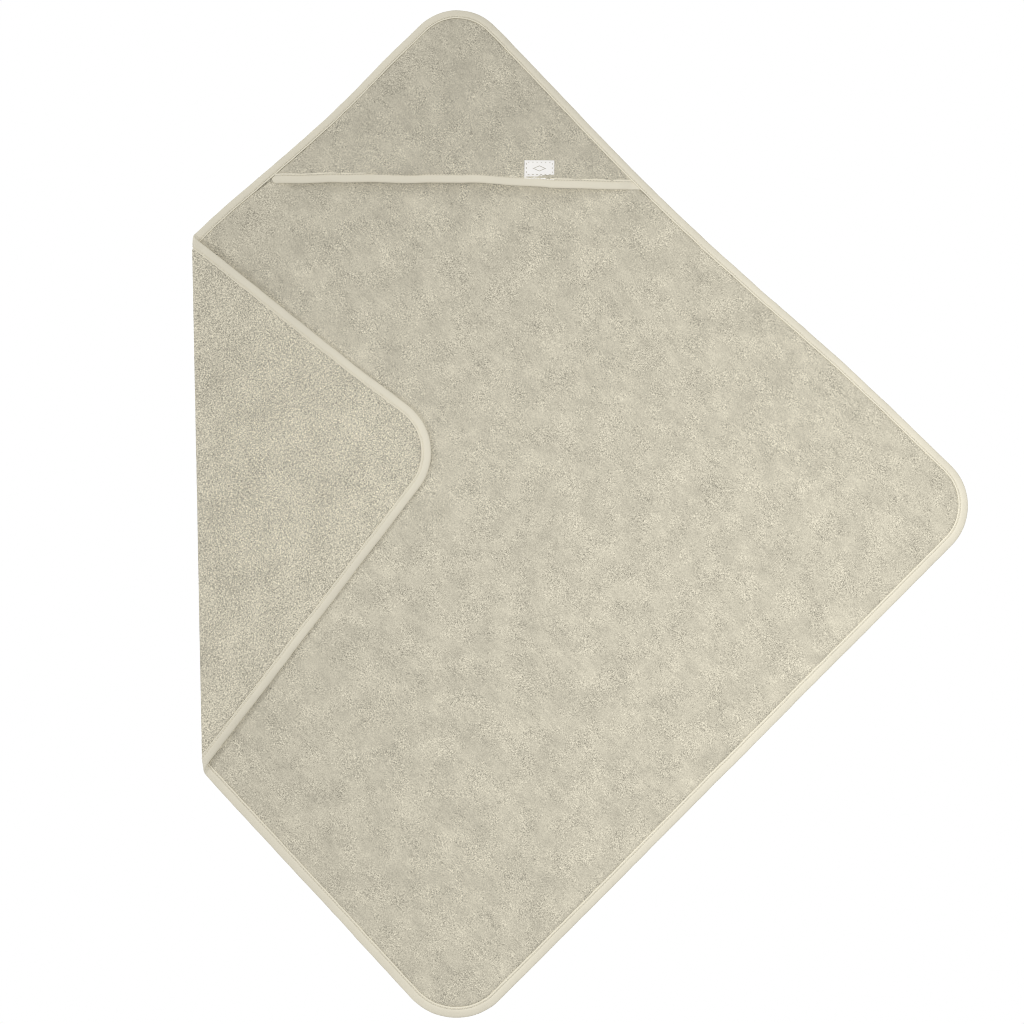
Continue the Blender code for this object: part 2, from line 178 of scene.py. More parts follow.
def from_fold_frame(a, b):
    return FOLD_TOP + np.multiply.outer(a, FOLD_INTO) + np.multiply.outer(b, FOLD_ALONG)


def unfolded(point):
    a, b = fold_frame(point)
    return from_fold_frame(-FOLD_STRIP - a, b)


# Sides drawn in, most of all where the hood is sewn on:
# (from, to, how far, where along the side, over what share of it).
DRAWN_IN = (
    (CORNER_TOP, CORNER_RIGHT, 8.6 * MM, 0.41, 0.40),
    (FOLD_TOP, CORNER_TOP, 4.5 * MM, 0.45, 0.42),
    (unfolded(TURNED_TIP), FOLD_TOP, 1.6 * MM, 0.45, 0.45))


def resample(points, step, closed):
    """Points about step apart along a polyline."""
    if closed:
        points = np.concatenate([points, points[:1]])
    lengths = lengths_along(points)
    count = max(2, round(lengths[-1] / step))
    places = np.linspace(0, lengths[-1], count + 1)
    if closed:
        places = places[:-1]
    return np.stack([np.interp(places, lengths, points[:, i]) for i in range(2)], axis=1)


def normals_of(points, closed):
    """Unit normals on the left of a polyline."""
    if closed:
        along = np.roll(points, -1, axis=0) - np.roll(points, 1, axis=0)
    else:
        along = np.gradient(points, axis=0)
    along /= np.linalg.norm(along, axis=1)[:, None]
    return np.stack([-along[:, 1], along[:, 0]], axis=1)


def round_corners(corners, radii):
    """Points round a polygon whose corners are arcs of the given radii. A corner of radius 0 stays sharp."""
    points = []
    for i, (corner, radius) in enumerate(zip(corners, radii)):
        if not radius:
            points.append(corner)
            continue
        to_last = unit(corners[i - 1] - corner)
        to_next = unit(corners[(i + 1) % len(corners)] - corner)
        half_angle = math.acos(to_last @ to_next) / 2
        centre = corner + unit(to_last + to_next) * radius / math.sin(half_angle)
        first = corner + to_last * radius / math.tan(half_angle) - centre
        for turn in np.linspace(0, math.pi - 2 * half_angle, 40):
            c, s = math.cos(turn), math.sin(turn)
            points.append(centre + np.array((c * first[0] - s * first[1], s * first[0] + c * first[1])))
    return np.array(points)


def draw_in(points):
    """Move the sides of the outline inwards as DRAWN_IN says."""
    for start, end, depth, middle, span in DRAWN_IN:
        chord = end - start
        length = np.linalg.norm(chord)
        inwards = np.array((chord[1], -chord[0])) / length
        share = (points - start) @ chord / length ** 2
        beside = np.abs((points - start) @ inwards) < 30 * MM
        swing = np.clip((share - middle) / span, -1, 1)
        drawn = np.where(beside, depth * np.cos(swing * math.pi / 2) ** 2, 0)
        points = points + drawn[:, None] * inwards
    return points


def towel_outline():
    """The whole edge of the towel in the layout, counter-clockwise from the top."""
    corners = [CORNER_TOP, FOLD_TOP, unfolded(TURNED_TIP), FOLD_BOTTOM, CORNER_BOTTOM, CORNER_RIGHT]
    radii = [RADIUS_TOP, 0, RADIUS_TURNED, 0, RADIUS_BOTTOM, RADIUS_RIGHT]
    points = resample(round_corners(corners, radii), OUTLINE_STEP, True)
    return resample(draw_in(points), OUTLINE_STEP, True)


OUTLINE = towel_outline()
OUTLINE_IN = normals_of(OUTLINE, True)
outline_tree = KDTree(len(OUTLINE))
for number, place in enumerate(OUTLINE):
    outline_tree.insert((place[0], place[1], 0), number)
outline_tree.balance()


def nearest_on_outline(xy):
    """Numbers of the outline's points that are nearest to points of the layout."""
    return np.array([outline_tree.find((p[0], p[1], 0))[1] for p in xy])


def from_edge(xy):
    """How far points of the layout are inside the towel's edge."""
    nearest = nearest_on_outline(xy)
    return np.einsum("ij,ij->i", xy - OUTLINE[nearest], OUTLINE_IN[nearest])


def tape_grip(xy, inwards):
    """How much wider than TAPE_WIDTH the edge tape lies: it grips less of the two upper sides."""
    a, _ = fold_frame(xy)
    turned = smoothstep((10 * MM - a) / (20 * MM))
    return (1.3 * inwards[:, 1] - 0.25) * MM * (1 - turned) - 0.3 * MM * turned


def tape_tilt(xy):
    """Slope across the edge tape. Its outer edge hangs a little, most on the turned corner's lower side."""
    a, b = fold_frame(xy)
    turned = smoothstep(-a / FOLD_STRIP)
    return 0.07 * (1 - turned) - (0.03 + 0.13 * smoothstep((b - 0.20) / 0.10)) * turned


OUTLINE_GRIP = tape_grip(OUTLINE, OUTLINE_IN)
GRIPPED_OUTLINE = OUTLINE + OUTLINE_IN * OUTLINE_GRIP[:, None]


def grip_near(xy):
    return OUTLINE_GRIP[nearest_on_outline(xy)]


def hood_edge_y(x):
    """Height in the plane of the hood's free edge: level at the left, then a drop to the right."""
    wave = 0.4 * MM * np.sin(x / 0.021) + 0.3 * MM * np.sin(x / 0.0083 + 1)
    wave = wave * smoothstep((x - HOOD_ENDS[0]) / 0.05) * smoothstep((HOOD_ENDS[1] - x) / 0.05)
    return HOOD_LEFT_Y - HOOD_DROP * smoothstep((x - HOOD_DROP_FROM) / HOOD_DROP_SPAN) + wave


def clockwise_angle(offset):
    """Angles from -360 to 0 degrees, in radians."""
    angle = np.arctan2(offset[..., 1], offset[..., 0])
    return np.where(angle > 0, angle - 2 * math.pi, angle)


def hood_weight(xy):
    """Share of the hood's lift that a point takes: none at the two seams, all of it midway."""
    start = clockwise_angle(FOLD_TOP - CORNER_TOP)
    end = clockwise_angle(CORNER_RIGHT - CORNER_TOP)
    angle = clockwise_angle(xy - (CORNER_TOP + np.array((0, FAN_ABOVE))))
    share = np.clip((angle - start) / (end - start), 0, 1)
    out_of_seam = smoothstep((from_edge(xy) - TAPE_WIDTH) / SEAM_REACH)
    return smoothstep(np.sin(math.pi * share)) * out_of_seam


# ---------------------------------------------------------------- laying the cloth

def floor_lift(xy):
    """Low swells of the cloth as it lies, away from the turned corner that presses it down."""
    a, _ = fold_frame(xy)
    swell = 0.5 + 0.5 * noise(xy[:, 0] + 3, xy[:, 1] + 3, SWELL_SIZE, 11)
    swell += 0.25 * (0.5 + 0.5 * noise(xy[:, 0] + 5, xy[:, 1] + 2, RIPPLE_SIZE, 12))
    return SWELL_HEIGHT * swell * smoothstep((a - PRESSED_REACH) / (120 * MM))


def curl(over, b):
    """Height by which the turned corner curls up beside the top of the fold."""
    along = smoothstep(over / (12 * MM)) * smoothstep((CURL_REACH - over) / (100 * MM))
    return CURL * along * smoothstep((over * CURL_SLOPE + CURL_LENGTH - b) / (40 * MM))


def lay(points, edge_distance):
    """Take layout points (x, y, height) to the folded towel.

    A point is on the base, on the half-round bend of the fold, or on the turned corner above the base.
    """
    xy, height = points[:, :2], points[:, 2]
    a, b = fold_frame(xy)
    base = np.column_stack([xy, height + floor_lift(xy)])
    angle = np.clip(-a / FOLD_STRIP, 0, 1) * math.pi
    radius = FOLD_HEIGHT - height
    bend_xy = from_fold_frame(-radius * np.sin(angle), b)
    bend = np.column_stack([bend_xy, FOLD_HEIGHT - radius * np.cos(angle)])
    over = -FOLD_STRIP - a
    settled = SETTLED * smoothstep((over - 4 * MM) / (50 * MM))
    at_edge = smoothstep((DROOP_WIDTH - edge_distance) / (30 * MM))
    down = settled + DROOP * at_edge * smoothstep((over - 25 * MM) / (90 * MM)) - curl(over, b)
    turned = np.column_stack([from_fold_frame(over, b), 2 * FOLD_HEIGHT - height - down])
    return np.where((a >= 0)[:, None], base, np.where((over >= 0)[:, None], turned, bend))


def set_weights(piece, weights):
    """Put the eased shares into the piece's vertex places, bake its transform, then give it back its own
    shape.
    """
    mesh = piece.data
    places = np.empty(len(mesh.vertices) * 3, np.float32)
    mesh.vertices.foreach_get("co", places)
    along = 0.5 - np.sin(np.arcsin(1 - 2 * np.clip(weights, 0, 1)) / 3)
    spread = np.zeros((len(along), 3), np.float32)
    spread[:, 0] = along
    mesh.vertices.foreach_set("co", spread.ravel())
    mesh.update()
    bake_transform(piece)
    mesh.vertices.foreach_set("co", places)
    mesh.update()


def fold_weight(xy):
    """Share of the fold's turn that a point takes. The curl lags, so that it clears the floor when opened."""
    a, b = fold_frame(xy)
    over = -FOLD_STRIP - a
    lag = curl(over, b) / np.maximum(over, 8 * MM) / math.pi
    return np.clip(-a / FOLD_STRIP, 0, 1) - lag


# ---------------------------------------------------------------- meshes

def make_piece(name, vertices, faces, materials, uv, slots=None):
    """A smooth-shaded mesh with a UV place for each vertex."""
    mesh = bpy.data.meshes.new(name)
    mesh.from_pydata([tuple(v) for v in vertices], [], faces)
    for material in materials:
        mesh.materials.append(material)
    if slots is not None:
        mesh.polygons.foreach_set("material_index", slots)
    layer = mesh.uv_layers.new(name="Cloth")
    corners = np.empty(len(mesh.loops), np.int32)
    mesh.loops.foreach_get("vertex_index", corners)
    layer.data.foreach_set("uv", np.asarray(uv, np.float32)[corners].ravel())
    mesh.shade_smooth()
    mesh.validate()
    piece = bpy.data.objects.new(name, mesh)
    bpy.context.scene.collection.objects.link(piece)
    return piece


def inside(points, loop):
    """Which points lie inside a closed loop, by counting the sides crossed on the way out."""
    x, y = points[:, :1], points[:, 1:]
    x0, y0 = loop[:, 0], loop[:, 1]
    x1, y1 = np.roll(x0, -1), np.roll(y0, -1)
    spans = (y0 > y) != (y1 > y)
    level = np.where(y1 == y0, 1, y1 - y0)
    crossed = spans & (x < x0 + (y - y0) * (x1 - x0) / level)
    return crossed.sum(axis=1) % 2 == 1


def filled(boundary, *inner):
    """Triangles over the area inside a closed boundary, using all the inner points too."""
    points = np.concatenate([boundary, *inner])
    count = len(boundary)
    edges = [(i, (i + 1) % count) for i in range(count)]
    result = delaunay_2d_cdt([Vector(p) for p in points], edges, [], 1, 1e-6, True)
    vertices = np.array([tuple(v) for v in result[0]])
    faces = np.array([tuple(f) for f in result[2]])
    on_edge = np.array([min(sources) < count for sources in result[3]])
    doubtful = np.flatnonzero(on_edge[faces].all(axis=1))
    outside = doubtful[~inside(vertices[faces[doubtful]].mean(axis=1), boundary)]
    faces = np.delete(faces, outside, axis=0)
    used = np.unique(faces)
    renumber = np.full(len(vertices), -1)
    renumber[used] = np.arange(len(used))
    return vertices[used], renumber[faces]


def boundary_edges(faces):
    """Directed edges that belong to one triangle only."""
    edges = np.concatenate([faces[:, [0, 1]], faces[:, [1, 2]], faces[:, [2, 0]]])
    both = {tuple(e) for e in edges}
    return [e for e in map(tuple, edges) if (e[1], e[0]) not in both]


def hex_grid(low, high, step, seed):
    """Points of a triangular grid, each moved a little so that no rows show."""
    rows = np.arange(low[1], high[1], step * math.sqrt(3) / 2)
    columns = np.arange(low[0], high[0], step)
    x, y = np.meshgrid(columns, rows)
    x = x + (np.arange(len(rows)) % 2)[:, None] * step / 2
    points = np.column_stack([x.ravel(), y.ravel()])
    return points + np.random.default_rng(seed).uniform(-0.16, 0.16, points.shape) * step


def two_sided(name, xy, faces, top, bottom, place, materials):
    """A closed cloth from one set of triangles, with its face on top and its back below."""
    count = len(xy)
    upper = place(np.column_stack([xy, top]))
    lower = place(np.column_stack([xy, bottom]))
    wall = [(b, a, a + count, b + count) for a, b in boundary_edges(faces)]
    all_faces = [tuple(f) for f in faces] + [tuple(f[::-1] + count) for f in faces] + wall
    side = unit(CORNER_RIGHT - CORNER_TOP)
    along_weave = np.column_stack([xy @ side, xy @ np.array((-side[1], side[0]))])
    slots = [0] * len(faces) + [1] * len(faces) + [1] * len(wall)
    return make_piece(
        name, np.concatenate([upper, lower]), all_faces, materials,
        np.concatenate([along_weave, along_weave]), slots)


def swept(name, rings, materials, uv, closed):
    """A tube through rings of points, each ring closed on itself."""
    count, around = rings.shape[:2]
    index = np.arange(count * around).reshape(count, around)
    following = np.roll(index, -1, axis=0) if closed else index[1:]
    current = index if closed else index[:-1]
    faces = np.stack([
        current, np.roll(current, -1, axis=1), np.roll(following, -1, axis=1), following],
        axis=-1).reshape(-1, 4).tolist()
    if not closed:
        faces += [index[0][::-1].tolist(), index[-1].tolist()]
    return make_piece(name, rings.reshape(-1, 3), faces, materials, uv.reshape(-1, 2))


# ---------------------------------------------------------------- materials

class Shading:
    """A Principled material with short calls for the nodes that this file uses."""

    def __init__(self, name, roughness, sheen=0.0, sheen_roughness=0.5, specular=0.3):
        self.material = bpy.data.materials.new(name)
        self.material.use_nodes = True
        self.tree = self.material.node_tree
        self.shader = self.tree.nodes["Principled BSDF"]
        self.shader.inputs["Roughness"].default_value = roughness
        self.shader.inputs["Sheen Weight"].default_value = sheen
        self.shader.inputs["Sheen Roughness"].default_value = sheen_roughness
        self.shader.inputs["Specular IOR Level"].default_value = specular
        source = self.tree.nodes.new("ShaderNodeUVMap")
        source.uv_map = "Cloth"
        self.uv = source.outputs["UV"]

    def link(self, value, socket):
        if isinstance(value, (int, float, tuple)):
            socket.default_value = value
        else:
            self.tree.links.new(value, socket)

    def stretched(self, x, y, turn=0.0):
        node = self.tree.nodes.new("ShaderNodeMapping")
        self.link(self.uv, node.inputs["Vector"])
        node.inputs["Rotation"].default_value = (0, 0, turn)
        node.inputs["Scale"].default_value = (x, y, 1)
        return node.outputs["Vector"]

    def noise(self, scale, detail=2.0, rough=0.5, distortion=0.0, where=None):
        node = self.tree.nodes.new("ShaderNodeTexNoise")
        self.link(where or self.uv, node.inputs["Vector"])
        node.inputs["Scale"].default_value = scale
        node.inputs["Detail"].default_value = detail
        node.inputs["Roughness"].default_value = rough
        node.inputs["Distortion"].default_value = distortion
        return node.outputs["Fac"]

    def waves(self, scale, turn, distortion=0.0):
        node = self.tree.nodes.new("ShaderNodeTexWave")
        self.link(self.stretched(1, 1, turn), node.inputs["Vector"])
        node.inputs["Scale"].default_value = scale
        node.inputs["Distortion"].default_value = distortion
        return node.outputs["Fac"]

    def beside_seam(self, inset, far, near):
        """1 along a line of a tape's face, near an inset from its inner edge, and 0 from far on."""
        split = self.tree.nodes.new("ShaderNodeSeparateXYZ")
        self.link(self.uv, split.inputs[0])
        section = tape_section(TAPE_HALF, TAPE_SKIN)
        travelled = lengths_along(section)
        to_line = np.abs(section[:FACE_POINTS] - (TAPE_WIDTH - inset, TAPE_HALF)).sum(axis=1)
        place = travelled[np.argmin(to_line)]
        return self.ramp(self.away_from(split.outputs["Y"], float(place)), far, near)

    def ramp(self, value, low, high, out_low=0.0, out_high=1.0, smooth=True):
        node = self.tree.nodes.new("ShaderNodeMapRange")
        node.interpolation_type = "SMOOTHSTEP" if smooth else "LINEAR"
        self.link(value, node.inputs["Value"])
        for key, number in (("From Min", low), ("From Max", high), ("To Min", out_low), ("To Max", out_high)):
            node.inputs[key].default_value = number
        return node.outputs["Result"]

    def math(self, operation, a, b):
        node = self.tree.nodes.new("ShaderNodeMath")
        node.operation = operation
        self.link(a, node.inputs[0])
        self.link(b, node.inputs[1])
        return node.outputs[0]

    def sum(self, *parts):
        """Sum of (value, weight) pairs."""
        total = None
        for value, weight in parts:
            part = self.math("MULTIPLY", value, weight)
            total = part if total is None else self.math("ADD", total, part)
        return total

    def centred(self, value):
        return self.math("SUBTRACT", value, 0.5)

    def away_from(self, value, middle):
        return self.math("ABSOLUTE", self.math("SUBTRACT", value, middle), 0.0)

    def clamped(self, value):
        return self.ramp(value, 0.0, 1.0, smooth=False)

    def mix(self, share, a, b):
        node = self.tree.nodes.new("ShaderNodeMix")
        node.data_type = "RGBA"
        self.link(share, node.inputs[0])
        self.link(a, node.inputs[6])
        self.link(b, node.inputs[7])
        return node.outputs[2]

    def colour(self, value):
        self.link(value, self.shader.inputs["Base Color"])

    def bump(self, height, distance, strength=1.0):
        node = self.tree.nodes.new("ShaderNodeBump")
        node.inputs["Distance"].default_value = distance
        node.inputs["Strength"].default_value = strength
        self.link(height, node.inputs["Height"])
        if self.shader.inputs["Normal"].is_linked:
            self.link(self.shader.inputs["Normal"].links[0].from_socket, node.inputs["Normal"])
        self.link(node.outputs["Normal"], self.shader.inputs["Normal"])


def tone(colour, factor):
    return tuple(min(1.0, part * factor) for part in colour) + (1.0,)


TERRY = (0.600, 0.560, 0.447)
TAPE = (0.785, 0.738, 0.603)
LABEL = (0.96, 0.94, 0.91)


def velour_material(name, brightness):
    """Cut pile: cloudy patches where the pile leans, and curly tips that stand out in some of them."""
    look = Shading(name, roughness=1.0, sheen=0.2, sheen_roughness=0.6, specular=0.1)
    clouds = look.noise(32, detail=5, rough=0.66)
    streaks = look.noise(60, detail=3, rough=0.6, where=look.stretched(1.0, 2.4, turn=0.6))
    tips = look.noise(700, detail=2, rough=0.8, distortion=0.6)
    curls = look.noise(470, detail=2, rough=0.7, distortion=2.0)
    standing = look.ramp(look.noise(40, detail=4, rough=0.7), 0.38, 0.62, 0.35, 1.0)
    grain = look.sum((tips, 0.6), (curls, 0.4))
    cloudy = look.sum((clouds, 0.65), (streaks, 0.35))
    value = look.sum((cloudy, 0.9), (look.math("MULTIPLY", look.centred(grain), standing), 3.7))
    dark, light = tone(TERRY, 0.45 * brightness), tone(TERRY, 1.55 * brightness)
    look.colour(look.mix(look.clamped(look.math("ADD", value, 0.05)), dark, light))
    look.bump(clouds, 1.6 * MM, 0.5)
    look.bump(grain, 1.2 * MM, 0.5)
    return look.material


def loops_material(name, brightness):
    """Uncut loops: an even, crisp grain of small loops with dark gaps between them."""
    look = Shading(name, roughness=1.0, sheen=0.15, sheen_roughness=0.6, specular=0.1)
    clouds = look.noise(30, detail=4, rough=0.6)
    loops = look.noise(720, detail=2, rough=0.8, distortion=0.8)
    twist = look.noise(500, detail=2, rough=0.7, distortion=2.0)
    grain = look.sum((loops, 0.65), (twist, 0.35))
    value = look.sum((clouds, 0.5), (look.centred(grain), 4.4))
    dark, light = tone(TERRY, 0.46 * brightness), tone(TERRY, 1.50 * brightness)
    look.colour(look.mix(look.clamped(look.math("ADD", value, 0.25)), dark, light))
    look.bump(grain, 1.4 * MM, 0.6)
    return look.material


def tape_material():
    """Satin-faced tape: a fine diagonal twill, faint creases across and a soft shine, with painted shade in
    its stitch groove and creases and a painted highlight along its inner lip.
    """
    look = Shading("tape", roughness=0.62, sheen=0.15, specular=0.35)
    twill = look.waves(330, math.radians(38), 0.4)
    creases = look.noise(46, detail=3, rough=0.6, where=look.stretched(1.0, 0.25))
    wear = look.noise(12, detail=3)
    body = look.mix(look.ramp(wear, 0.3, 0.7), tone(TAPE, 0.965), tone(TAPE, 1.03))
    crossed = look.mix(look.math("MULTIPLY", twill, 0.35), body, tone(TAPE, 0.93))
    # painted shade: the colour is darkened along the stitch groove
    groove_shaded = look.mix(look.beside_seam(STITCH_INSET, 1.0 * MM, 0.3 * MM), crossed, tone(TAPE, 0.84))
    # painted highlight: the colour is lightened along the tape's inner lip
    rim_highlighted = look.mix(look.beside_seam(0.6 * MM, 0.8 * MM, 0.3 * MM), groove_shaded, tone(TAPE, 1.07))
    # painted shade: the colour is darkened along the creases
    crease_shade_mask = look.math("MULTIPLY", look.ramp(creases, 0.56, 0.75), 0.5)
    look.colour(look.mix(crease_shade_mask, rim_highlighted, tone(TAPE, 0.90)))
    look.bump(twill, 0.12 * MM, 0.35)
    look.bump(creases, 0.5 * MM, 0.35)
    return look.material


def thread_material():
    """Twisted sewing thread."""
    look = Shading("thread", roughness=0.5, sheen=0.1, specular=0.4)
    twist = look.waves(900, math.radians(55), 0.0)
    look.colour(look.mix(look.math("MULTIPLY", twist, 0.5), tone(TAPE, 1.16), tone(TAPE, 0.92)))
    look.bump(twist, 0.1 * MM, 0.4)
    return look.material


def label_material():
    """White woven label with a dotted border and a plain lozenge woven in."""
    look = Shading("label", roughness=0.75, sheen=0.1, specular=0.3)
    warp = look.waves(620, 0.0)
    weft = look.waves(620, math.radians(90))
    weave = look.math("MULTIPLY", look.math("ADD", warp, weft), 0.5)
    split = look.tree.nodes.new("ShaderNodeSeparateXYZ")
    look.link(look.uv, split.inputs[0])
    width, length = LABEL_SIZE
    across = look.away_from(split.outputs["X"], width / 2)
    along = look.away_from(split.outputs["Y"], length / 2)
    margin = 1.9 * MM
    past_side = look.math("SUBTRACT", across, width / 2 - margin)
    past_end = look.math("SUBTRACT", along, length / 2 - margin)
    border = look.away_from(look.math("MAXIMUM", past_side, past_end), 0.0)
    dots = look.math("MULTIPLY", look.waves(105, math.radians(45)), look.waves(105, math.radians(-45)))
    dotted = look.math("MULTIPLY", look.ramp(border, 0.60 * MM, 0.25 * MM), look.ramp(dots, 0.15, 0.5))
    lozenge = look.away_from(look.sum((across, 1 / (6 * MM)), (along, 1 / (2.6 * MM))), 1.0)
    bands = look.math("MAXIMUM", dotted, look.ramp(lozenge, 0.22, 0.08))
    ground = look.mix(look.math("MULTIPLY", weave, 0.35), tone(LABEL, 1.04), tone(LABEL, 0.92))
    look.colour(look.mix(look.math("MULTIPLY", bands, 0.75), ground, tone(TERRY, 0.72)))
    look.bump(weave, 0.1 * MM, 0.5)
    return look.material


# ---------------------------------------------------------------- terry

def pressed_share(distance):
    """0 where the tape squeezes the cloth, 1 where the pile stands free."""
    return smoothstep((distance - SEAM_START) / SEAM_WIDTH)


def seam_rows(step, line, inwards, closed):
    """Rows of points along a line, at each distance in SEAM_ROWS inside it."""
    rows = []
    for k, distance in enumerate(SEAM_ROWS):
        row = resample(line + inwards * distance, step, closed)
        following = np.roll(row, -1, axis=0)
        rows.append((row + following) / 2 if k % 2 and closed else row)
    return rows


def pile_relief(xy, seed, rough):
    """Low bumps of the pile: clouds where it leans, and single tufts."""
    x, y = xy[:, 0] + 2, xy[:, 1] + 2
    clouds = 0.22 * noise(x, y, 24 * MM, seed) + 0.12 * noise(x, y, 11 * MM, seed + 1)
    tufts = np.random.default_rng(seed + 2).uniform(-rough, rough, len(xy))
    return (clouds + tufts) * MM


def clear_of_fold(points):
    """The points that are not on the strip that goes round the fold."""
    a, _ = fold_frame(points)
    near = GRID * 0.55
    return points[(a > near) | (a < -FOLD_STRIP - near)]


def fold_strip_rows():
    """Rows of points along the strip that goes round the fold, as far as the tape."""
    rows = []
    for k in range(FOLD_ROWS + 1):
        along = np.arange(-20 * MM, FOLD_LENGTH + 20 * MM, GRID * 0.9) + (k % 2) * GRID * 0.45
        rows.append(from_fold_frame(np.full(len(along), -FOLD_STRIP * k / FOLD_ROWS), along))
    strip = np.concatenate(rows)
    return strip[from_edge(strip) > 3.4 * MM]


def make_towel(face, back):
    """The terry square, one closed cloth with its turned corner."""
    boundary = resample(OUTLINE + OUTLINE_IN * 2 * MM, GRID * 0.9, True)
    inner = hex_grid(OUTLINE.min(axis=0), OUTLINE.max(axis=0), GRID, 1)
    inner = clear_of_fold(inner[from_edge(inner) > SEAM_CLEAR])
    seam = clear_of_fold(np.concatenate(seam_rows(GRID * 0.85, GRIPPED_OUTLINE, OUTLINE_IN, True)))
    xy, faces = filled(boundary, inner, fold_strip_rows(), seam)
    distance = from_edge(xy)
    free = pressed_share(distance - grip_near(xy))
    half = PRESSED_HALF + (CLOTH_HALF - PRESSED_HALF) * free
    half += SEAM_RIDGE * np.exp(-((distance - 15 * MM) / (4 * MM)) ** 2)
    top = CLOTH_MID + half + pile_relief(xy, 21, 0.16) * free
    bottom = np.maximum(CLOTH_MID - half + pile_relief(xy, 31, 0.2) * free, 0.05 * MM)
    piece = two_sided("towel_cloth", xy, faces, top, bottom, lambda p: lay(p, distance), [face, back])
    set_weights(piece, np.tile(fold_weight(xy), 2))
    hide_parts("towel_panel", "towel_fold", "corner_panel")
    return piece


def hood_height(xy, distance):
    """Mid-height of the hood's cloth: low in the seams, resting on the towel inside them."""
    depth = xy[:, 1] - hood_edge_y(xy[:, 0])
    rise = smoothstep((distance - 9 * MM) / (14 * MM))
    arch = HOOD_ARCH * smoothstep((distance - 15 * MM) / (60 * MM)) * smoothstep((0.15 - depth) / 0.12)
    rumple = HOOD_RUMPLE * noise(xy[:, 0] + 4, xy[:, 1] + 4, 38 * MM, 51)
    return HOOD_SEAM_MID + (HOOD_MID - HOOD_SEAM_MID + arch + rumple) * rise


def hood_points():
    """The hood's boundary, and the points inside it: a grid, and rows beside its seams."""
    edge = OUTLINE + OUTLINE_IN * 3 * MM
    edge = edge[edge[:, 1] > hood_edge_y(edge[:, 0]) + 2.5 * MM]
    edge = edge[np.argsort(edge[:, 0])]
    free = np.column_stack([np.linspace(edge[0, 0], edge[-1, 0], 300), np.zeros(300)])[1:-1]
    free[:, 1] = hood_edge_y(free[:, 0]) + 1.5 * MM
    boundary = resample(np.concatenate([edge, free[::-1]]), HOOD_GRID * 0.9, True)
    grid = hex_grid(boundary.min(axis=0), boundary.max(axis=0), HOOD_GRID, 2)
    keep = (from_edge(grid) > SEAM_CLEAR) & (grid[:, 1] - hood_edge_y(grid[:, 0]) > SEAM_CLEAR)
    seams = []
    sewn_rows = seam_rows(HOOD_GRID, GRIPPED_OUTLINE, OUTLINE_IN, True)
    taped_rows = seam_rows(HOOD_GRID, free, normals_of(free, False), False)
    for distance, sewn, taped in zip(SEAM_ROWS, sewn_rows, taped_rows):
        seams.append(sewn[sewn[:, 1] - hood_edge_y(sewn[:, 0]) > distance])
        seams.append(taped[from_edge(taped) > distance + 0.4 * MM])
    return boundary, grid[keep], *seams


def make_hood(face, back):
    """The hood's terry, caught under the edge tape on two sides and in its own tape on the third."""
    xy, faces = filled(*hood_points())
    distance = from_edge(xy)
    from_free = xy[:, 1] - hood_edge_y(xy[:, 0])
    free_pile = pressed_share(distance - grip_near(xy)) * pressed_share(from_free)
    half = PRESSED_HALF * 0.9 + (CLOTH_HALF - PRESSED_HALF * 0.9) * free_pile
    in_tape = from_edge(np.column_stack([xy[:, 0], hood_edge_y(xy[:, 0]) + TAPE_WIDTH / 2]))
    mid = hood_height(xy, np.minimum(distance, np.maximum(in_tape, 0)))
    top = mid + half + pile_relief(xy, 41, 0.14) * free_pile
    piece = two_sided("hood_cloth", xy, faces, top, mid - half, lambda p: lay(p, distance), [face, back])
    set_weights(piece, np.tile(hood_weight(xy), 2))
    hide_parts("hood_panel", "hood_seam_edge")
    return piece


# ---------------------------------------------------------------- tapes and seams

FACE_POINTS = 12


def tape_section(half, skin):
    """(distance from the outer edge, height) round the section of a folded tape, in order.

    Its first FACE_POINTS points are on the upper face, from the inner lip outwards.
    """
    width = TAPE_WIDTH
    upper = [
        (width - 0.5 * MM, half - 1.45 * MM), (width + 0.05 * MM, half - 1.30 * MM),
        (width + 0.15 * MM, half - 0.85 * MM), (width - 0.15 * MM, half - 0.38 * MM),
        (width - 0.7 * MM, half - 0.22 * MM), (width - 1.3 * MM, half - 0.36 * MM),
        (width - 1.9 * MM, half - 0.58 * MM), (width - 2.6 * MM, half - 0.20 * MM),
        (width - 3.5 * MM, half + 0.08 * MM), (width * 0.50, half + 0.08 * MM),
        (width * 0.32, half * 0.93), (width * 0.18, half * 0.80),
        (width * 0.08, half * 0.62), (width * 0.02, half * 0.36), (0.0, 0.0)]
    outer = upper + [(u, -z) for u, z in upper[-2::-1]]
    inner = [
        (width - 1.4 * MM, half - 0.95 * MM), (width * 0.5, half - skin), (width * 0.18, half * 0.80 - skin),
        (skin * 1.4, 0.0)]
    inner = inner + [(u, -z) for u, z in inner[-2::-1]]
    return np.array(outer + inner[::-1])


def tape_waves(s):
    """Sideways wander and change of thickness of a sewn tape along its length."""
    wander = 0.28 * MM * noise(s, s * 0, 34 * MM, 61) + 0.14 * MM * noise(s, s * 0, 9 * MM, 62)
    pinch = 0.10 * MM * noise(s, s * 0, 6 * MM, 63) + 0.12 * MM * noise(s, s * 0, 17 * MM, 64)
    return wander, pinch


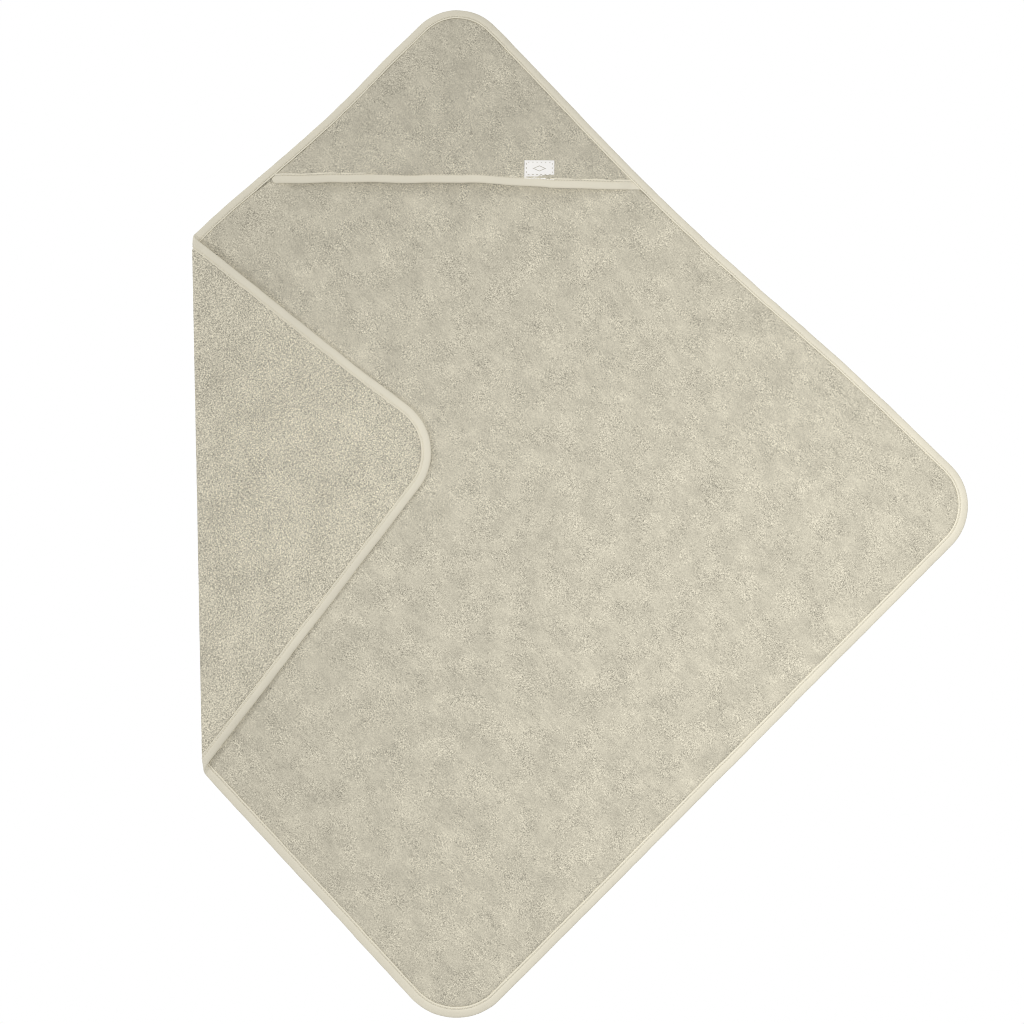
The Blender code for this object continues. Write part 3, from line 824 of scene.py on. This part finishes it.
def tape_rings(path, inwards, mid, half, s, grip, tilt, fullness):
    """Rings of layout points round a tape that follows a path.

    The tape is grip wider than TAPE_WIDTH and slopes by tilt. Its fullness goes to 0 at a round end.
    """
    wander, pinch = tape_waves(s)
    rings = []
    for i in range(len(path)):
        section = tape_section(half[i] + pinch[i], TAPE_SKIN)
        across = TAPE_WIDTH / 2 + (section[:, :1] - TAPE_WIDTH / 2) * fullness[i]
        xy = path[i] + (across * (1 + grip[i] / TAPE_WIDTH) + wander[i]) * inwards[i]
        slope = tilt[i] * (across[:, 0] - TAPE_WIDTH / 2)
        rings.append(np.column_stack([xy, mid[i] + section[:, 1] * (0.3 + 0.7 * fullness[i]) + slope]))
    rings = np.array(rings)
    travelled = lengths_along(tape_section(TAPE_HALF, TAPE_SKIN))
    uv = np.stack(np.broadcast_arrays(s[:, None], travelled[None, :]), axis=-1)
    return rings, uv


def edge_swell(xy):
    """How much thicker the edge tape is where it also holds the hood."""
    depth = xy[:, 1] - hood_edge_y(xy[:, 0])
    return smoothstep((depth + 6 * MM) / (16 * MM)) * (xy[:, 0] > FOLD_TOP[0]) * HOOD_SWELL


def make_edge_tape(material):
    """The tape folded over the towel's whole edge."""
    path = resample(OUTLINE, 2.6 * MM, True)
    inwards = normals_of(path, True)
    swell = edge_swell(path)
    rings, uv = tape_rings(
        path, inwards, TAPE_MID + swell, TAPE_HALF + swell, lengths_along(path), tape_grip(path, inwards),
        tape_tilt(path), np.ones(len(path)))
    flat = rings.reshape(-1, 3)
    placed = lay(flat, np.full(len(flat), TAPE_WIDTH / 2))
    piece = swept("edge_tape", placed.reshape(rings.shape), [material], uv, True)
    set_weights(piece, fold_weight(flat[:, :2]))
    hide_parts("edge_binding", "corner_binding", "binding_fold_upper", "binding_fold_lower")
    return piece


# Rings of one stitch, in mm: (how far along, radius, height).
STITCH_SHAPE = (
    (0.0, 0.06, -0.34), (0.35, 0.24, -0.04), (1.1, 0.29, 0.08), (1.9, 0.24, -0.04), (2.25, 0.06, -0.34))
STITCH_SIDES = 6
STITCH_SUNK = 0.12 * MM


def stitch_row(path, inwards, height, inset):
    """Single stitches along a tape: short rounded lengths of thread that dip in at both ends.

    Returns the layout places of the vertices, the faces, and the UV places.
    """
    lengths = lengths_along(path)
    total = lengths[-1]
    count = int(total / STITCH_PITCH)
    starts = (np.arange(count) + 0.15) * total / count
    turns = np.arange(STITCH_SIDES) * 2 * math.pi / STITCH_SIDES
    upwards = np.sign(height[0])
    rings = np.empty((count, len(STITCH_SHAPE), STITCH_SIDES, 3))
    wander, pinch = tape_waves(lengths)
    line = path + inwards * (inset + wander)[:, None]
    for k, (ahead, radius, lift) in enumerate(STITCH_SHAPE):
        places = (starts + ahead * MM) % total
        centre = np.column_stack([np.interp(places, lengths, line[:, i]) for i in range(2)])
        normal = np.column_stack([np.interp(places, lengths, inwards[:, i]) for i in range(2)])
        level = np.interp(places, lengths, height) + np.interp(places, lengths, pinch) * upwards
        for m, turn in enumerate(turns):
            rings[:, k, m, :2] = centre + normal * radius * MM * math.cos(turn)
            rings[:, k, m, 2] = level + (lift * upwards + radius * math.sin(turn)) * MM
    index = np.arange(rings[..., 0].size).reshape(rings.shape[:3])
    quads = np.stack([
        index[:, :-1], np.roll(index[:, :-1], -1, axis=2), np.roll(index[:, 1:], -1, axis=2), index[:, 1:]],
        axis=-1).reshape(-1, 4)
    faces = quads.tolist() + index[:, 0, ::-1].tolist() + index[:, -1].tolist()
    ahead = np.repeat(np.tile([ring[0] * MM for ring in STITCH_SHAPE], count), STITCH_SIDES)
    round_thread = np.tile(turns, count * len(STITCH_SHAPE)) * 0.3 * MM
    return rings.reshape(-1, 3), faces, np.column_stack([ahead, round_thread])


def make_edge_stitches(material):
    """The seam of the edge tape: needle side on top and bobbin side underneath."""
    path = resample(OUTLINE, 1.3 * MM, True)
    inwards = normals_of(path, True)
    slope = tape_tilt(path) * (TAPE_WIDTH / 2 - STITCH_INSET)
    inset = TAPE_WIDTH + tape_grip(path, inwards) - STITCH_INSET
    pieces = []
    for name, side, nodes in (
            ("edge_stitches_top", 1, ("edge_needle_thread", "corner_needle_thread")),
            ("edge_stitches_under", -1, ("edge_bobbin_thread", "corner_bobbin_thread"))):
        level = side * (TAPE_HALF + edge_swell(path) - STITCH_SUNK + side * slope)
        flat, faces, uv = stitch_row(path, inwards, level, inset)
        flat[:, 2] += TAPE_MID + edge_swell(OUTLINE)[nearest_on_outline(flat)]
        placed = lay(flat, np.full(len(flat), TAPE_WIDTH / 2))
        piece = make_piece(name, placed, faces, [material], uv)
        set_weights(piece, fold_weight(flat[:, :2]))
        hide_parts(*nodes)
        pieces.append(piece)
    return pieces


def hood_edge_path():
    """The hood's free edge, from beside the edge tape on the left to under it on the right.

    Its points are closer together at the left, where the tape has a round end.
    """
    x = np.linspace(-0.36, 0.11, 900)
    path = np.column_stack([x, hood_edge_y(x)])
    clear = np.where(x < 0, TAPE_WIDTH - 0.5 * MM, TAPE_WIDTH / 2)
    path = path[from_edge(path + np.array((0, TAPE_WIDTH / 2))) > clear]
    path = resample(path, 2.4 * MM, False)
    start = np.linspace(path[0], path[3], 13)
    return np.concatenate([start, path[4:]])


def hood_tape_shape(path):
    """Mid-height and half-thickness of the hood's tape along its path."""
    distance = from_edge(path + np.array((0, TAPE_WIDTH / 2)))
    seat = smoothstep((distance - np.where(path[:, 0] < 0, 2, 8) * MM) / (12 * MM))
    half = HOOD_TAPE_FLAT + (TAPE_HALF - HOOD_TAPE_FLAT) * seat
    return hood_height(path, np.maximum(distance, 0)) - 0.15 * MM * seat, half


def lay_free(points):
    """Lay points that are far from the edge of the turned corner."""
    return lay(points, np.full(len(points), 1.0))


def make_hood_tape(material):
    """The tape folded over the hood's free edge, with a round left end."""
    path = hood_edge_path()
    mid, half = hood_tape_shape(path)
    along = lengths_along(path)
    from_end = np.clip(1 - along / (5 * MM), 0, 0.98)
    rings, uv = tape_rings(
        path, normals_of(path, False), mid, half, along + 7.0, np.zeros(len(path)), np.full(len(path), -0.03),
        np.sqrt(1 - from_end ** 2))
    flat = rings.reshape(-1, 3)
    piece = swept("hood_tape", lay_free(flat).reshape(rings.shape), [material], uv, False)
    set_weights(piece, hood_weight(flat[:, :2]))
    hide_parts("hood_binding")
    return piece


def make_hood_stitches(material):
    """The seam of the hood's tape: needle side on top and bobbin side underneath."""
    path = resample(hood_edge_path(), 1.2 * MM, False)
    path = path[from_edge(path + np.array((0, TAPE_WIDTH))) > 11 * MM]
    inwards = normals_of(path, False)
    mid, half = hood_tape_shape(path)
    order = np.argsort(path[:, 0])
    pieces = []
    for name, side, node in (
            ("hood_stitches_top", 1, "hood_needle_thread"),
            ("hood_stitches_under", -1, "hood_bobbin_thread")):
        flat, faces, uv = stitch_row(path, inwards, side * (half - STITCH_SUNK), TAPE_WIDTH - STITCH_INSET)
        flat[:, 2] += np.interp(flat[:, 0], path[order, 0], mid[order])
        piece = make_piece(name, lay_free(flat), faces, [material], uv)
        set_weights(piece, hood_weight(flat[:, :2]))
        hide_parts(node)
        pieces.append(piece)
    return pieces


def label_level(xy, start_y):
    """Mid-height of the label: under the hood's tape at its tail, then out over the pile with a soft wave."""
    width = LABEL_SIZE[0]
    hood_mid = hood_height(xy, from_edge(xy))
    under_tape = hood_mid + TAPE_HALF - 0.75 * MM
    on_pile = hood_mid + CLOTH_HALF + 0.25 * MM
    out = smoothstep((xy[:, 1] - start_y + 0.5 * MM) / (3.5 * MM))
    wave = 0.35 * MM * np.sin((xy[:, 0] - LABEL_LEFT) / width * math.pi * 1.3 + 0.4)
    end_lift = 0.3 * MM * smoothstep((xy[:, 1] - start_y - 9 * MM) / (7 * MM))
    return under_tape + (on_pile - under_tape) * out + (wave + end_lift) * out


def make_label(material):
    """The folded woven label: its tail under the hood tape, its loop lying on the hood."""
    width, length = LABEL_SIZE
    across = np.linspace(0, width, 31)
    along = np.concatenate([np.linspace(-LABEL_TAIL, length, 22), [length + 0.25 * MM]])
    start_y = hood_edge_y(LABEL_LEFT + width / 2) + TAPE_WIDTH
    grid_x, grid_y = np.meshgrid(LABEL_LEFT + across, start_y + along, indexing="ij")
    xy = np.column_stack([(grid_x + LABEL_SLANT * (grid_y - start_y)).ravel(), grid_y.ravel()])
    level = label_level(xy, start_y)
    half = np.where(xy[:, 1] > start_y + length + 0.1 * MM, 0.35, 1.0) * LABEL_HALF
    count = len(xy)
    index = np.arange(count).reshape(grid_x.shape)
    quads = np.stack([index[:-1, :-1], index[1:, :-1], index[1:, 1:], index[:-1, 1:]], axis=-1).reshape(-1, 4)
    rim = np.concatenate([index[:, 0], index[-1, 1:], index[-2::-1, -1], index[0, -2:0:-1]])
    walls = [(b, a, a + count, b + count) for a, b in zip(rim, np.roll(rim, -1))]
    faces = quads.tolist() + (quads[:, ::-1] + count).tolist() + walls
    upper = lay_free(np.column_stack([xy, level + half]))
    lower = lay_free(np.column_stack([xy, level - half]))
    uv = np.column_stack([grid_x.ravel() - LABEL_LEFT, grid_y.ravel() - start_y])
    piece = make_piece(
        "woven_label", np.concatenate([upper, lower]), faces, [material], np.concatenate([uv, uv]))
    set_weights(piece, np.tile(hood_weight(xy), 2))
    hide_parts("hood_label")
    return piece


# ---------------------------------------------------------------- stage

def make_floor():
    """A white floor that glows evenly, so that it shows no shadow."""
    mesh = bpy.data.meshes.new("floor")
    reach = 30.0
    mesh.from_pydata(
        [(-reach, -reach, 0), (reach, -reach, 0), (reach, reach, 0), (-reach, reach, 0)], [], [(0, 1, 2, 3)])
    floor = bpy.data.objects.new("floor", mesh)
    bpy.context.scene.collection.objects.link(floor)
    white = bpy.data.materials.new("floor")
    white.use_nodes = True
    shader = white.node_tree.nodes["Principled BSDF"]
    shader.inputs["Base Color"].default_value = (0, 0, 0, 1)
    shader.inputs["Specular IOR Level"].default_value = 0
    shader.inputs["Emission Color"].default_value = (1, 1, 1, 1)
    shader.inputs["Emission Strength"].default_value = 1.0
    mesh.materials.append(white)


def add_light(name, kind, place, target, power):
    data = bpy.data.lights.new(name, kind)
    data.energy = power
    light = bpy.data.objects.new(name, data)
    light.location = place
    light.rotation_euler = (Vector(target) - Vector(place)).to_track_quat("-Z", "Y").to_euler()
    bpy.context.scene.collection.objects.link(light)
    return light


def make_lights():
    """Soft studio light: an even sky, a low key from the left, a high soft one, and a fill on the right."""
    world = bpy.data.worlds.new("studio")
    world.use_nodes = True
    background = world.node_tree.nodes["Background"]
    background.inputs["Color"].default_value = (1, 1, 1, 1)
    background.inputs["Strength"].default_value = 0.33
    bpy.context.scene.world = world
    key = add_light("key", "SUN", (-2.3, 0.1, 1.15), (0, 0, 0), 0.80)
    key.data.angle = math.radians(3.5)
    upper = add_light("upper", "SUN", (-0.5, 2.2, 1.5), (0, 0, 0), 0.55)
    upper.data.angle = math.radians(20)
    fill = add_light("fill", "AREA", (0.38, -0.16, 1.25), (0.36, -0.16, 0), 10.0)
    fill.data.size = 0.8
    fill.visible_camera = False


def make_camera():
    """Straight above, through a long lens that takes in FRAME_WIDTH of the floor."""
    data = bpy.data.cameras.new("camera")
    data.sensor_width = 36
    data.lens = data.sensor_width * CAMERA_HEIGHT / FRAME_WIDTH
    camera = bpy.data.objects.new("camera", data)
    camera.location = (-0.0681, 0.0020, CAMERA_HEIGHT)
    bpy.context.scene.collection.objects.link(camera)
    bpy.context.scene.camera = camera
    bpy.context.scene.view_settings.view_transform = "Standard"
    bpy.context.scene.cycles.filter_width = 1.0


# ---------------------------------------------------------------- assembly

face = velour_material("terry_face", 1.0)
back = loops_material("terry_back", 1.10)
# The hood's terry: the face terry made darker, painted shade for the dimmer light on the hood.
hood_face_shaded = velour_material("hood_face_shaded", 0.94)
tape = tape_material()
thread = thread_material()

towel_cloth = make_towel(face, back)
edge_tape = make_edge_tape(tape)
edge_stitches = make_edge_stitches(thread)
hood_cloth = make_hood(hood_face_shaded, back)
hood_tape = make_hood_tape(tape)
hood_stitches = make_hood_stitches(thread)
label = make_label(label_material())

make_floor()
make_lights()
make_camera()
